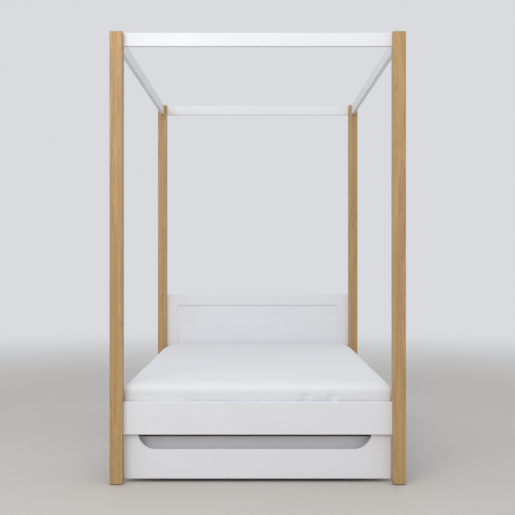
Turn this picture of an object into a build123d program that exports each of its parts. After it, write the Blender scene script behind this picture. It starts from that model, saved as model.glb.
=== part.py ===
from build123d import *
import os
from dataclasses import dataclass
from math import radians, tan

# A four poster bed with a wheeled drawer at its foot end. Millimetres, +Z up.
# The origin is on the floor at the centre of the footprint. -Y is the foot end, where the drawer
# pulls out, and +Y is the head end.

# ---- overall sizes
bed_width = 1320
bed_length = 2090
bed_height = 2022

# ---- posts and the glides under them
post_side = 57
post_round = 3
post_top_chamfer = 1.5
glide_radius = 18
glide_height = 4
glide_round = 1.5
glide_pin_radius = 3
glide_pin_length = 16

# ---- boards between the posts
board_round = 2
beam_height = 60
beam_thickness = 21
rail_height = 147
rail_thickness = 25
rail_top = 366

# ---- headboard, a frame with a panel held in grooves
headboard_top = 770
headboard_thickness = 25
headboard_member_width = 72
headboard_bottom_rail_height = 147
panel_thickness = 9
panel_recess = 7
panel_groove_depth = 8
panel_clearance = 0.2

# ---- slatted base
ledger_side = 30
ledger_end_gap = 40
ledger_drop = 8
slat_count = 14
slat_width = 70
slat_thickness = 20
slat_end_clearance = 8
slat_edge_round = 3
strap_width = 25
strap_thickness = 1
strap_inset = 232

# ---- mattress and its fitted sheet
mattress_side_gap = 19
mattress_end_gap = 2.5
mattress_thickness = 158
mattress_corner_round = 42
mattress_top_round = 36
mattress_bottom_round = 18
sheet_thickness = 1
sheet_clearance = 0.5
sheet_tuck = 90

# ---- drawer
drawer_depth = 1000
drawer_front_thickness = 18
drawer_front_floor_gap = 16
drawer_front_rail_gap = 5
drawer_front_post_gap = 3
drawer_board = 15
drawer_side_post_gap = 10
drawer_side_drop = 17
drawer_bottom_thickness = 12
drawer_bottom_rise = 6
drawer_groove_depth = 6
drawer_groove_clearance = 0.2
batten_width = 60
batten_thickness = 18
batten_end_gap = 25
grip_side_margin = 72
grip_depth = 65
grip_radius = 80
grip_offset = -13
grip_room = 34

# ---- castors
wheel_radius = 20
wheel_width = 16
wheel_round = 3
wheel_dish = 2
wheel_rim = 4
hub_radius = 7
axle_radius = 3
axle_clearance = 0.05
axle_seat_clearance = 0.01
axle_overhang = 1.5
castor_plate_length = 62
castor_plate_width = 46
castor_plate_thickness = 2.5
castor_cheek_thickness = 2
castor_cheek_gap = 1
castor_cheek_width = 26
castor_cheek_nose = 8
castor_inset_x = 120
castor_inset_y = 75
castor_screw_spacing_x = 36
castor_screw_spacing_y = 50

# ---- hidden joinery between posts and boards
stud_radius = 4
stud_post_depth = 35
stud_post_clearance = 0.05
stud_board_clearance = 0.5
stud_end = 3
pocket_radius = 9
pocket_inset = 32
pocket_past_axis = 8
washer_flat = 4
washer_clearance = 0.3
washer_height = 12
nut_across_flats = 13
nut_thickness = 6.5
nut_clearance = 0.02
dowel_radius = 5
dowel_depth = 30
dowel_end_gap = 1
dowel_clearance = 0.05

# ---- screws
screw_radius = 2.2
screw_head_radius = 4.4
screw_head_angle = 90
screw_clearance = 0.05
ledger_screw_count = 7
ledger_screw_length = 44
castor_screw_length = 10
drawer_screw_length = 45
drawer_dowel_radius = 4
drawer_dowel_front_depth = 11
drawer_dowel_side_depth = 25
drawer_dowel_inset = 28

# ---- places worked out from the sizes above
inner_x = bed_width / 2 - post_side
inner_y = bed_length / 2 - post_side
post_x = inner_x + post_side / 2
post_y = inner_y + post_side / 2
beam_bottom = bed_height - beam_height
rail_bottom = rail_top - rail_height
rail_inner_x = post_x - rail_thickness / 2
headboard_face_y = bed_length / 2 - headboard_thickness
ledger_top = rail_bottom + ledger_drop + ledger_side
ledger_length = 2 * (inner_y - ledger_end_gap)
slat_top = ledger_top + slat_thickness
slat_pitch = (ledger_length - slat_width) / (slat_count - 1)
slat_length = 2 * (rail_inner_x - slat_end_clearance)
strap_x = slat_length / 2 - strap_inset
sheet_room = sheet_thickness + sheet_clearance
mattress_width = 2 * (rail_inner_x - mattress_side_gap)
mattress_length = headboard_face_y + inner_y - 2 * (mattress_end_gap + sheet_room)
mattress_y = (headboard_face_y - inner_y) / 2
mattress_bottom = slat_top + sheet_room
foot_beam_y = -inner_y - beam_thickness / 2
foot_rail_y = -inner_y - rail_thickness / 2
head_beam_y = bed_length / 2 - beam_thickness / 2
headboard_y = headboard_face_y + headboard_thickness / 2
panel_y = headboard_face_y + panel_recess + panel_thickness / 2
stile_x = inner_x - headboard_member_width / 2
stile_inner_x = inner_x - headboard_member_width

drawer_front_back_y = -inner_y + drawer_front_thickness
drawer_end_y = -inner_y + drawer_depth
drawer_front_top = rail_bottom - drawer_front_rail_gap
drawer_front_width = 2 * (inner_x - drawer_front_post_gap)
drawer_outer_x = inner_x - drawer_side_post_gap
drawer_inner_x = drawer_outer_x - drawer_board
castor_height = 2 * wheel_radius + castor_plate_thickness + wheel_rim
drawer_bottom_z = castor_height
drawer_side_bottom = drawer_bottom_z - drawer_bottom_rise
drawer_side_top = drawer_front_top - drawer_side_drop
drawer_side_height = drawer_side_top - drawer_side_bottom
grip_width = drawer_front_width - 2 * grip_side_margin
drawer_back_inner_y = drawer_end_y - drawer_board
drawer_back_y = drawer_end_y - drawer_board / 2
grip_board_y = drawer_front_back_y + grip_room + drawer_board / 2
grip_board_bottom = drawer_bottom_z + drawer_bottom_thickness
castor_x = drawer_inner_x - castor_inset_x
castor_ys = (drawer_front_back_y + castor_inset_y, drawer_back_inner_y - castor_inset_y)

SIDES = (("left", -1), ("right", 1))
ENDS = (("foot", -1), ("head", 1))
UP = Vector(0, 0, 1)
HEADWARDS = Vector(0, 1, 0)


@dataclass
class Fixing:
    """The axis of a stud or a dowel where the end of a board meets a post."""

    face: Vector
    inward: Vector
    pocket: Vector
    reach: float

    def into_post(self):
        """The joint face, seen from the board: holes run into the post."""
        return Plane(origin=self.face, x_dir=self.pocket, z_dir=self.inward)

    def into_board(self):
        """The joint face, seen from the post: holes run into the board."""
        return Plane(origin=self.face, x_dir=self.pocket, z_dir=-self.inward)

    def pocket_mouth(self):
        """The face where the nut's pocket opens, over the stud's axis."""
        mouth = self.face + self.inward * pocket_inset + self.pocket * self.reach
        return Plane(origin=mouth, x_dir=self.inward, z_dir=self.pocket)

    def pocket_middle(self):
        """The pocket's own cross-section, at the stud's axis."""
        middle = self.face + self.inward * pocket_inset
        return Plane(origin=middle, x_dir=self.inward, z_dir=self.pocket)


def end_fixings(side, board_y, heights, pocket, reaches):
    """Fixings of a board that runs across the bed, at its end on one side."""
    faces = [Vector(side * inner_x, board_y, height) for height in heights]
    return [Fixing(face, Vector(-side, 0, 0), pocket, reach) for face, reach in zip(faces, reaches)]


def side_fixings(side, end, heights, pocket, reaches):
    """Fixings of a board that runs along the bed, at its foot or head end."""
    faces = [Vector(side * post_x, end * inner_y, height) for height in heights]
    return [Fixing(face, Vector(0, -end, 0), pocket, reach) for face, reach in zip(faces, reaches)]


def spread(bottom, height, count):
    """Heights that share a board's width out evenly, from low to high."""
    return [bottom + height * (place + 1) / (count + 1) for place in range(count)]


# The studs and dowels of boards that meet in one post stand at different heights, so that their
# holes pass clear of each other inside it: a rail has eight places for them and a beam has four.
rail_places = spread(rail_bottom, rail_height, count=8)
beam_places = spread(beam_bottom, beam_height, count=4)
side_rail_dowels = (rail_places[0], rail_places[7])
end_rail_studs = (rail_places[1], rail_places[6])
side_rail_studs = (rail_places[2], rail_places[5])
end_rail_dowels = (rail_places[3], rail_places[4])
headboard_studs = (rail_places[1], headboard_top - headboard_member_width / 2)
headboard_dowels = (rail_places[4], (rail_top + headboard_top) / 2)
side_beam_dowels = (beam_places[0],)
end_beam_studs = (beam_places[1],)
side_beam_studs = (beam_places[2],)
end_beam_dowels = (beam_places[3],)

half_rail = (rail_thickness / 2, rail_thickness / 2)
half_headboard = (headboard_thickness / 2, headboard_thickness / 2)


def beam_reach(heights):
    """How far the top of a beam lies above each stud."""
    return [bed_height - height for height in heights]


def fixing_sets(side, end):
    """The studs and the dowels of each board that meets the post at this corner, by board."""
    inwards = Vector(-side, 0, 0)
    sets = {
        "side_rail": (
            side_fixings(side, end, side_rail_studs, inwards, half_rail),
            side_fixings(side, end, side_rail_dowels, inwards, half_rail),
        ),
        "side_beam": (
            side_fixings(side, end, side_beam_studs, UP, beam_reach(side_beam_studs)),
            side_fixings(side, end, side_beam_dowels, UP, beam_reach(side_beam_dowels)),
        ),
    }
    beam_y = foot_beam_y if end < 0 else head_beam_y
    sets["end_beam"] = (
        end_fixings(side, beam_y, end_beam_studs, UP, beam_reach(end_beam_studs)),
        end_fixings(side, beam_y, end_beam_dowels, UP, beam_reach(end_beam_dowels)),
    )
    if end < 0:
        sets["end_board"] = (
            end_fixings(side, foot_rail_y, end_rail_studs, HEADWARDS, half_rail),
            end_fixings(side, foot_rail_y, end_rail_dowels, HEADWARDS, half_rail),
        )
    else:
        sets["end_board"] = (
            end_fixings(side, headboard_y, headboard_studs, HEADWARDS, half_headboard),
            end_fixings(side, headboard_y, headboard_dowels, HEADWARDS, half_headboard),
        )
    return sets


def all_fixings(kind):
    """Every stud (kind 0) or every dowel (kind 1) of the bed."""
    found = []
    for _, side in SIDES:
        for _, end in ENDS:
            for pair in fixing_sets(side, end).values():
                found.extend(pair[kind])
    return found


def save(block, name):
    """Labels a finished piece and writes its STEP file."""
    block.part.label = name
    export_step(block.part, f"parts/{name}.step")


def cut_stud_seats(studs):
    """Cuts the stud holes and the nut pockets of one board end out of the open part."""
    for stud in studs:
        with Locations(stud.into_board()):
            Hole(radius=stud_radius + stud_board_clearance, depth=pocket_inset)
        with Locations(stud.pocket_mouth()):
            Hole(radius=pocket_radius, depth=stud.reach + pocket_past_axis)


def cut_dowel_holes(dowels):
    """Cuts the dowel holes of one board end out of the open part."""
    for dowel in dowels:
        with Locations(dowel.into_board()):
            Hole(radius=dowel_radius + dowel_clearance, depth=dowel_depth)


def cut_screw_hole(depth):
    """Cuts a countersunk screw hole at the current location."""
    CounterSinkHole(
        radius=screw_radius + screw_clearance,
        counter_sink_radius=screw_head_radius + screw_clearance,
        depth=depth,
        counter_sink_angle=screw_head_angle,
    )


# ---- posts and glides
def make_post(side, end):
    """A square post with the holes for its studs, its dowels and its glide."""
    with BuildPart() as post:
        with BuildSketch(Plane.XY.offset(glide_height)):
            with Locations((side * post_x, end * post_y)):
                Rectangle(post_side, post_side)
        extrude(amount=bed_height - glide_height)
        fillet(post.edges().filter_by(Axis.Z), post_round)
        chamfer(post.edges().group_by(Axis.Z)[-1], post_top_chamfer)
        for studs, dowels in fixing_sets(side, end).values():
            for stud in studs:
                with Locations(stud.into_post()):
                    Hole(radius=stud_radius + stud_post_clearance, depth=stud_post_depth)
            for dowel in dowels:
                with Locations(dowel.into_post()):
                    Hole(radius=dowel_radius + dowel_clearance, depth=dowel_depth)
        foot = Plane(origin=(side * post_x, end * post_y, glide_height), z_dir=(0, 0, -1))
        with Locations(foot):
            Hole(radius=glide_pin_radius + screw_clearance, depth=glide_pin_length + dowel_end_gap)
    return post


def make_glides():
    """Four nail-in plastic glides, one under each post."""
    with BuildPart() as glides:
        with BuildSketch():
            with GridLocations(2 * post_x, 2 * post_y, 2, 2):
                Circle(glide_radius)
        extrude(amount=glide_height)
        fillet(glides.edges().group_by(Axis.Z)[0], glide_round)
        with BuildSketch(Plane.XY.offset(glide_height)):
            with GridLocations(2 * post_x, 2 * post_y, 2, 2):
                Circle(glide_pin_radius)
        extrude(amount=glide_pin_length)
    return glides


# ---- boards between the posts
def make_end_board(board_y, bottom, height, thickness, end, board):
    """A board across the bed between two posts, with its long edges rounded."""
    with BuildPart() as block:
        with BuildSketch(Plane.XY.offset(bottom)):
            with Locations((0, board_y)):
                Rectangle(2 * inner_x, thickness)
        extrude(amount=height)
        fillet(block.edges().filter_by(Axis.X), board_round)
        for _, side in SIDES:
            studs, dowels = fixing_sets(side, end)[board]
            cut_stud_seats(studs)
            cut_dowel_holes(dowels)
    return block


def make_side_board(side, bottom, height, thickness, board):
    """A board along the bed between a foot post and a head post."""
    with BuildPart() as block:
        with BuildSketch(Plane.XY.offset(bottom)):
            with Locations((side * post_x, 0)):
                Rectangle(thickness, 2 * inner_y)
        extrude(amount=height)
        fillet(block.edges().filter_by(Axis.Y), board_round)
        for _, end in ENDS:
            studs, dowels = fixing_sets(side, end)[board]
            cut_stud_seats(studs)
            cut_dowel_holes(dowels)
        if board == "side_rail":
            for plane in ledger_screw_planes(side):
                with Locations(plane):
                    Hole(radius=screw_radius + screw_clearance, depth=ledger_screw_length)
    return block


# ---- headboard
panel_groove_width = panel_thickness + 2 * panel_clearance
panel_half_width = stile_inner_x + panel_groove_depth - panel_clearance
panel_bottom = rail_bottom + headboard_bottom_rail_height - panel_groove_depth + panel_clearance
panel_top = headboard_top - headboard_member_width + panel_groove_depth - panel_clearance


def make_stile(side):
    """An upright of the headboard, grooved for the panel and for the tongues of the two rails."""
    groove_x = side * (stile_inner_x + panel_groove_depth / 2)
    with BuildPart() as stile:
        with BuildSketch(Plane.XY.offset(rail_bottom)):
            with Locations((side * stile_x, headboard_y)):
                Rectangle(headboard_member_width, headboard_thickness)
        extrude(amount=headboard_top - rail_bottom)
        fillet(stile.edges().group_by(Axis.Z)[-1].filter_by(Axis.X), board_round)
        with BuildSketch(Plane.XY.offset(rail_bottom)):
            with Locations((groove_x, panel_y)):
                Rectangle(panel_groove_depth, panel_groove_width)
        extrude(amount=headboard_top - headboard_member_width / 2 - rail_bottom, mode=Mode.SUBTRACT)
        studs, dowels = fixing_sets(side, 1)["end_board"]
        cut_stud_seats(studs)
        cut_dowel_holes(dowels)
    return stile


def make_headboard_rail(bottom, height, groove_bottom, tongue_top):
    """A cross rail of the headboard, with a tongue at each end and a groove for the panel."""
    tongue_length = panel_groove_depth - panel_clearance
    with BuildPart() as rail:
        with BuildSketch(Plane.XY.offset(bottom)):
            with Locations((0, headboard_y)):
                Rectangle(2 * stile_inner_x, headboard_thickness)
        extrude(amount=height)
        if bottom > rail_bottom:
            fillet(rail.edges().group_by(Axis.Z)[-1].filter_by(Axis.X), board_round)
        with BuildSketch(Plane.XY.offset(bottom)):
            with Locations((0, panel_y)):
                Rectangle(2 * (stile_inner_x + tongue_length), panel_thickness)
        extrude(amount=tongue_top - bottom)
        with BuildSketch(Plane.XY.offset(groove_bottom)):
            with Locations((0, panel_y)):
                Rectangle(bed_width, panel_groove_width)
        extrude(amount=panel_groove_depth, mode=Mode.SUBTRACT)
    return rail


def make_panel():
    """The flat panel, loose in the grooves all round."""
    with BuildPart() as panel:
        with BuildSketch(Plane.XY.offset(panel_bottom)):
            with Locations((0, panel_y)):
                Rectangle(2 * panel_half_width, panel_thickness)
        extrude(amount=panel_top - panel_bottom)
    return panel


# ---- slatted base
def ledger_screw_planes(side):
    """Where each ledger screw enters, on the ledger's inner face, pointing back out."""
    pitch = ledger_length / ledger_screw_count
    first = -pitch * (ledger_screw_count - 1) / 2
    entry_x = side * (rail_inner_x - ledger_side)
    height = ledger_top - ledger_side / 2
    return [
        Plane(origin=(entry_x, first + i * pitch, height), x_dir=(0, 1, 0), z_dir=(-side, 0, 0))
        for i in range(ledger_screw_count)
    ]


def make_ledger(side):
    """The strip on a side rail's inner face that the slats lie on."""
    with BuildPart() as ledger:
        with BuildSketch(Plane.XY.offset(ledger_top - ledger_side)):
            with Locations((side * (rail_inner_x - ledger_side / 2), 0)):
                Rectangle(ledger_side, ledger_length)
        extrude(amount=ledger_side)
        for plane in ledger_screw_planes(side):
            with Locations(plane):
                cut_screw_hole(ledger_side)
    return ledger


def make_screws(planes, length):
    """Countersunk wood screws whose heads lie flush at the given planes."""
    head_height = (screw_head_radius - screw_radius) / tan(radians(screw_head_angle / 2))
    with BuildPart() as screws:
        for plane in planes:
            with BuildSketch(plane):
                Circle(screw_head_radius)
            with BuildSketch(plane.offset(-head_height)):
                Circle(screw_radius)
            loft()
            with BuildSketch(plane.offset(-head_height)):
                Circle(screw_radius)
            extrude(amount=-(length - head_height))
    return screws


def make_slat(index):
    """One flat slat, with its long edges rounded, lying on the two ledgers."""
    slat_y = -(ledger_length - slat_width) / 2 + index * slat_pitch
    with BuildPart() as slat:
        with BuildSketch(Plane.XY.offset(ledger_top)):
            with Locations((0, slat_y)):
                Rectangle(slat_length, slat_width)
        extrude(amount=slat_thickness)
        fillet(slat.edges().filter_by(Axis.X), slat_edge_round)
    return slat


def make_straps():
    """The two webbing straps stapled under the slats, which keep them spaced."""
    with BuildPart() as straps:
        with BuildSketch(Plane.XY.offset(ledger_top)):
            with GridLocations(2 * strap_x, 0, 2, 1):
                Rectangle(strap_width, ledger_length)
        extrude(amount=-strap_thickness)
    return straps


# ---- mattress and sheet
def rounded_pad(grow):
    """A block with soft corners and edges: the mattress, larger all round by grow."""
    with BuildPart() as pad:
        with BuildSketch(Plane.XY.offset(mattress_bottom - grow)):
            with Locations((0, mattress_y)):
                RectangleRounded(
                    mattress_width + 2 * grow,
                    mattress_length + 2 * grow,
                    mattress_corner_round + grow,
                )
        extrude(amount=mattress_thickness + 2 * grow)
        fillet(pad.edges().group_by(Axis.Z)[-1], mattress_top_round + grow)
        fillet(pad.edges().group_by(Axis.Z)[0], mattress_bottom_round + grow)
    return pad


def make_sheet():
    """The fitted sheet: a skin over the mattress, tucked under all round and open in the middle."""
    outer = rounded_pad(sheet_room)
    inner = rounded_pad(sheet_clearance)
    with BuildPart() as sheet:
        add(outer.part)
        add(inner.part, mode=Mode.SUBTRACT)
        with BuildSketch(Plane.XY.offset(slat_top)):
            with Locations((0, mattress_y)):
                RectangleRounded(
                    mattress_width - 2 * sheet_tuck,
                    mattress_length - 2 * sheet_tuck,
                    mattress_corner_round,
                )
        extrude(amount=sheet_room, mode=Mode.SUBTRACT)
    return sheet


# ---- drawer
bottom_groove_height = drawer_bottom_thickness + 2 * drawer_groove_clearance
bottom_groove_z = drawer_bottom_z - drawer_groove_clearance
bottom_reach = drawer_groove_depth - drawer_groove_clearance
drawer_fixing_heights = (
    drawer_side_bottom + drawer_dowel_inset,
    (drawer_side_bottom + drawer_side_top) / 2,
    drawer_side_top - drawer_dowel_inset,
)


def cut_bottom_groove():
    """Cuts the drawer bottom's groove out of the open part, wherever the two meet."""
    with BuildSketch(Plane.XY.offset(bottom_groove_z)) as groove:
        with Locations((0, (drawer_front_back_y + drawer_back_inner_y) / 2)):
            Rectangle(
                2 * (drawer_inner_x + drawer_groove_depth),
                drawer_back_inner_y - drawer_front_back_y + 2 * drawer_groove_depth,
            )
    extrude(groove.sketch, amount=bottom_groove_height, mode=Mode.SUBTRACT)


def drawer_dowel_planes(side):
    """Where the dowels between the front and a side cross the front's back face."""
    side_x = side * (drawer_outer_x - drawer_board / 2)
    return [
        Plane(origin=(side_x, drawer_front_back_y, height), x_dir=(1, 0, 0), z_dir=(0, 1, 0))
        for height in drawer_fixing_heights
    ]


def drawer_screw_planes(side, board_y):
    """Where the screws through a side into a cross board enter, pointing back out."""
    return [
        Plane(origin=(side * drawer_outer_x, board_y, height), x_dir=(0, 1, 0), z_dir=(side, 0, 0))
        for height in drawer_fixing_heights
    ]


def all_drawer_screw_planes():
    """The screws of both cross boards, on both sides."""
    return [
        plane
        for _, side in SIDES
        for board_y in (grip_board_y, drawer_back_y)
        for plane in drawer_screw_planes(side, board_y)
    ]


def make_drawer_front():
    """The front board, with a long hand grip cut down from its top edge."""
    with BuildPart() as front:
        with BuildSketch(Plane.XZ.offset(inner_y)):
            with Locations((0, (drawer_front_floor_gap + drawer_front_top) / 2)):
                Rectangle(drawer_front_width, drawer_front_top - drawer_front_floor_gap)
            with Locations((grip_offset, drawer_front_top - grip_depth + grip_radius)):
                SlotOverall(grip_width, 2 * grip_radius, mode=Mode.SUBTRACT)
        extrude(amount=-drawer_front_thickness)
        fillet(front.faces().sort_by(Axis.Y)[0].edges(), board_round)
        fillet(front.faces().sort_by(Axis.Y)[-1].edges(), board_round)
        cut_bottom_groove()
        for _, side in SIDES:
            for plane in drawer_dowel_planes(side):
                with Locations(plane):
                    Hole(
                        radius=drawer_dowel_radius + dowel_clearance,
                        depth=drawer_dowel_front_depth + dowel_end_gap,
                    )
    return front


def make_drawer_side(side):
    """A side of the drawer, from the front board to behind the back board."""
    with BuildPart() as board:
        with BuildSketch(Plane.XY.offset(drawer_side_bottom)):
            with Locations((
                side * (drawer_outer_x - drawer_board / 2),
                (drawer_front_back_y + drawer_end_y) / 2,
            )):
                Rectangle(drawer_board, drawer_end_y - drawer_front_back_y)
        extrude(amount=drawer_side_height)
        fillet(board.edges().group_by(Axis.Z)[-1].filter_by(Axis.Y), board_round)
        cut_bottom_groove()
        for plane in drawer_dowel_planes(side):
            with Locations(plane.rotated((0, 180, 0))):
                Hole(
                    radius=drawer_dowel_radius + dowel_clearance,
                    depth=drawer_dowel_side_depth + dowel_end_gap,
                )
        for board_y in (grip_board_y, drawer_back_y):
            for plane in drawer_screw_planes(side, board_y):
                with Locations(plane):
                    cut_screw_hole(drawer_board)
    return board


def make_drawer_cross_board(board_y, bottom):
    """A board between the drawer's sides, up to their top and screwed to both."""
    with BuildPart() as board:
        with BuildSketch(Plane.XY.offset(bottom)):
            with Locations((0, board_y)):
                Rectangle(2 * drawer_inner_x, drawer_board)
        extrude(amount=drawer_side_top - bottom)
        fillet(board.edges().group_by(Axis.Z)[-1].filter_by(Axis.X), board_round)
        if bottom < drawer_bottom_z:
            cut_bottom_groove()
        for _, side in SIDES:
            for plane in drawer_screw_planes(side, board_y):
                with Locations(plane):
                    Hole(radius=screw_radius + screw_clearance, depth=drawer_screw_length)
    return board


def make_drawer_bottom():
    """The drawer bottom, loose in its grooves on all four sides."""
    with BuildPart() as bottom:
        with BuildSketch(Plane.XY.offset(drawer_bottom_z)):
            with Locations((0, (drawer_front_back_y + drawer_back_inner_y) / 2)):
                Rectangle(
                    2 * (drawer_inner_x + bottom_reach),
                    drawer_back_inner_y - drawer_front_back_y + 2 * bottom_reach,
                )
        extrude(amount=drawer_bottom_thickness)
        for plane in castor_screw_planes():
            with Locations(plane):
                Hole(radius=screw_radius + screw_clearance, depth=castor_screw_length)
    return bottom


def make_battens():
    """Two battens across the underside of the drawer bottom, between the rows of castors."""
    batten_gap = (castor_ys[1] - castor_ys[0]) / 3
    with BuildPart() as battens:
        with BuildSketch(Plane.XY.offset(drawer_bottom_z)):
            with Locations(
                (0, castor_ys[0] + batten_gap),
                (0, castor_ys[1] - batten_gap),
            ):
                Rectangle(2 * (drawer_inner_x - batten_end_gap), batten_width)
        extrude(amount=-batten_thickness)
        fillet(battens.edges().group_by(Axis.Z)[0].filter_by(Axis.X), board_round)
    return battens


# ---- castors
plate_bottom = drawer_bottom_z - castor_plate_thickness
cheek_inner = wheel_width / 2 + castor_cheek_gap
cheek_outer = cheek_inner + castor_cheek_thickness


def castor_screw_planes():
    """Where the screws of all four castors enter, under their plates, pointing down."""
    return [
        Plane(
            origin=(
                side * castor_x + across * castor_screw_spacing_x / 2,
                row_y + along * castor_screw_spacing_y / 2,
                plate_bottom,
            ),
            x_dir=(1, 0, 0),
            z_dir=(0, 0, -1),
        )
        for _, side in SIDES
        for row_y in castor_ys
        for across in (-1, 1)
        for along in (-1, 1)
    ]


def make_housing(side, row_y):
    """A castor's plate and its two cheeks, with the holes for its axle and its screws."""
    with BuildPart() as housing:
        with BuildSketch(Plane.XY.offset(plate_bottom)):
            with Locations((side * castor_x, row_y)):
                RectangleRounded(castor_plate_width, castor_plate_length, screw_head_radius)
        extrude(amount=castor_plate_thickness)
        for cheek_side in (-1, 1):
            cheek_x = side * castor_x + cheek_side * cheek_inner
            with BuildSketch(Plane(origin=(cheek_x, row_y, 0), x_dir=(0, 1, 0), z_dir=(1, 0, 0))):
                with BuildLine():
                    Polyline(
                        (-castor_cheek_width / 2, plate_bottom),
                        (-castor_cheek_nose, wheel_radius),
                        (-castor_cheek_nose, wheel_radius - castor_cheek_nose),
                        (castor_cheek_nose, wheel_radius - castor_cheek_nose),
                        (castor_cheek_nose, wheel_radius),
                        (castor_cheek_width / 2, plate_bottom),
                        close=True,
                    )
                make_face()
            extrude(amount=cheek_side * castor_cheek_thickness)
        axle_mouth = Plane(
            origin=(side * castor_x + cheek_outer, row_y, wheel_radius),
            x_dir=(0, 1, 0),
            z_dir=(1, 0, 0),
        )
        with Locations(axle_mouth):
            Hole(radius=axle_radius + axle_seat_clearance, depth=2 * cheek_outer)
        for plane in castor_screw_planes():
            with Locations(plane):
                cut_screw_hole(castor_plate_thickness)
    return housing


def make_wheel(side, row_y):
    """A plastic wheel, rounded at its tread and dished between its rim and its hub."""
    dish_outer = wheel_radius - wheel_rim
    with BuildPart() as wheel:
        with BuildSketch(Plane(origin=(side * castor_x, row_y, wheel_radius), z_dir=(1, 0, 0))):
            Circle(wheel_radius)
            Circle(axle_radius + axle_clearance, mode=Mode.SUBTRACT)
        extrude(amount=wheel_width / 2, both=True)
        tread = wheel.edges().filter_by(GeomType.CIRCLE).sort_by(SortBy.RADIUS)[-2:]
        fillet(tread, wheel_round)
        for face_side in (-1, 1):
            face_x = side * castor_x + face_side * wheel_width / 2
            with BuildSketch(Plane(origin=(face_x, row_y, wheel_radius), z_dir=(face_side, 0, 0))):
                Circle(dish_outer)
                Circle(hub_radius, mode=Mode.SUBTRACT)
            extrude(amount=-wheel_dish, mode=Mode.SUBTRACT)
    return wheel


def make_axles():
    """The four castor pins, each through both cheeks of its housing."""
    with BuildPart() as axles:
        for _, side in SIDES:
            for row_y in castor_ys:
                with BuildSketch(Plane(origin=(side * castor_x, row_y, wheel_radius), z_dir=(1, 0, 0))):
                    Circle(axle_radius)
                extrude(amount=cheek_outer + axle_overhang, both=True)
    return axles


# ---- hidden joinery
def make_studs():
    """Threaded studs, fixed in the posts and reaching into the boards' pockets."""
    length = stud_post_depth + pocket_inset - washer_flat + nut_thickness + stud_end
    with BuildPart() as studs:
        for stud in all_fixings(0):
            with BuildSketch(stud.into_post().offset(-stud_post_depth)):
                Circle(stud_radius)
            extrude(amount=length)
    return studs


def make_washers():
    """Half-moon washers, which bear on the post's side of each pocket."""
    washer_radius = pocket_radius - washer_clearance
    with BuildPart() as washers:
        for stud in all_fixings(0):
            with BuildSketch(stud.pocket_middle()):
                Circle(washer_radius)
                with Locations((washer_radius - washer_flat, 0)):
                    Rectangle(2 * washer_radius, 2 * washer_radius, mode=Mode.SUBTRACT)
            extrude(amount=washer_height / 2, both=True)
            with Locations(stud.into_post().offset(pocket_inset)):
                Hole(radius=stud_radius + washer_clearance, depth=pocket_inset)
    return washers


def make_nuts():
    """Hexagon nuts on the studs, tight against the washers' flats."""
    with BuildPart() as nuts:
        for stud in all_fixings(0):
            with BuildSketch(stud.into_post().offset(pocket_inset - washer_flat)):
                RegularPolygon(nut_across_flats / 2, 6, major_radius=False)
                Circle(stud_radius + nut_clearance, mode=Mode.SUBTRACT)
            extrude(amount=nut_thickness)
    return nuts


def make_dowels():
    """Wooden dowels across the joint faces between the boards and the posts."""
    with BuildPart() as dowels:
        for dowel in all_fixings(1):
            with BuildSketch(dowel.into_post()):
                Circle(dowel_radius)
            extrude(amount=dowel_depth - dowel_end_gap, both=True)
    return dowels


def make_drawer_dowels():
    """Wooden dowels between the drawer's front and its sides."""
    with BuildPart() as dowels:
        for _, side in SIDES:
            for plane in drawer_dowel_planes(side):
                with BuildSketch(plane.offset(-drawer_dowel_front_depth)):
                    Circle(drawer_dowel_radius)
                extrude(amount=drawer_dowel_front_depth + drawer_dowel_side_depth)
    return dowels


# ---- the whole bed, one STEP file for each piece or group of like fasteners
os.makedirs("parts", exist_ok=True)

for side_name, side in SIDES:
    for end_name, end in ENDS:
        save(make_post(side, end), f"post_{end_name}_{side_name}")
save(make_glides(), "post_glides")

beam_size = (beam_bottom, beam_height, beam_thickness)
rail_size = (rail_bottom, rail_height, rail_thickness)
save(make_end_board(foot_beam_y, *beam_size, -1, "end_beam"), "top_beam_foot")
save(make_end_board(head_beam_y, *beam_size, 1, "end_beam"), "top_beam_head")
save(make_end_board(foot_rail_y, *rail_size, -1, "end_board"), "foot_rail")
for side_name, side in SIDES:
    save(make_side_board(side, *beam_size, "side_beam"), f"top_beam_{side_name}")
    save(make_side_board(side, *rail_size, "side_rail"), f"side_rail_{side_name}")

for side_name, side in SIDES:
    save(make_stile(side), f"headboard_stile_{side_name}")
headboard_top_rail = make_headboard_rail(
    bottom=headboard_top - headboard_member_width,
    height=headboard_member_width,
    groove_bottom=headboard_top - headboard_member_width,
    tongue_top=headboard_top - headboard_member_width / 2 - panel_clearance,
)
save(headboard_top_rail, "headboard_top_rail")
headboard_bottom_rail = make_headboard_rail(
    bottom=rail_bottom,
    height=headboard_bottom_rail_height,
    groove_bottom=rail_bottom + headboard_bottom_rail_height - panel_groove_depth,
    tongue_top=rail_bottom + headboard_bottom_rail_height - panel_groove_depth,
)
save(headboard_bottom_rail, "headboard_bottom_rail")
save(make_panel(), "headboard_panel")

for side_name, side in SIDES:
    save(make_ledger(side), f"ledger_{side_name}")
for index in range(slat_count):
    save(make_slat(index), f"slat_{index + 1:02d}")
save(make_straps(), "slat_straps")
save(rounded_pad(0), "mattress")
save(make_sheet(), "fitted_sheet")

save(make_drawer_front(), "drawer_front")
for side_name, side in SIDES:
    save(make_drawer_side(side), f"drawer_side_{side_name}")
save(make_drawer_cross_board(drawer_back_y, drawer_side_bottom), "drawer_back")
save(make_drawer_cross_board(grip_board_y, grip_board_bottom), "drawer_grip_board")
save(make_drawer_bottom(), "drawer_bottom")
save(make_battens(), "drawer_battens")

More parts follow.
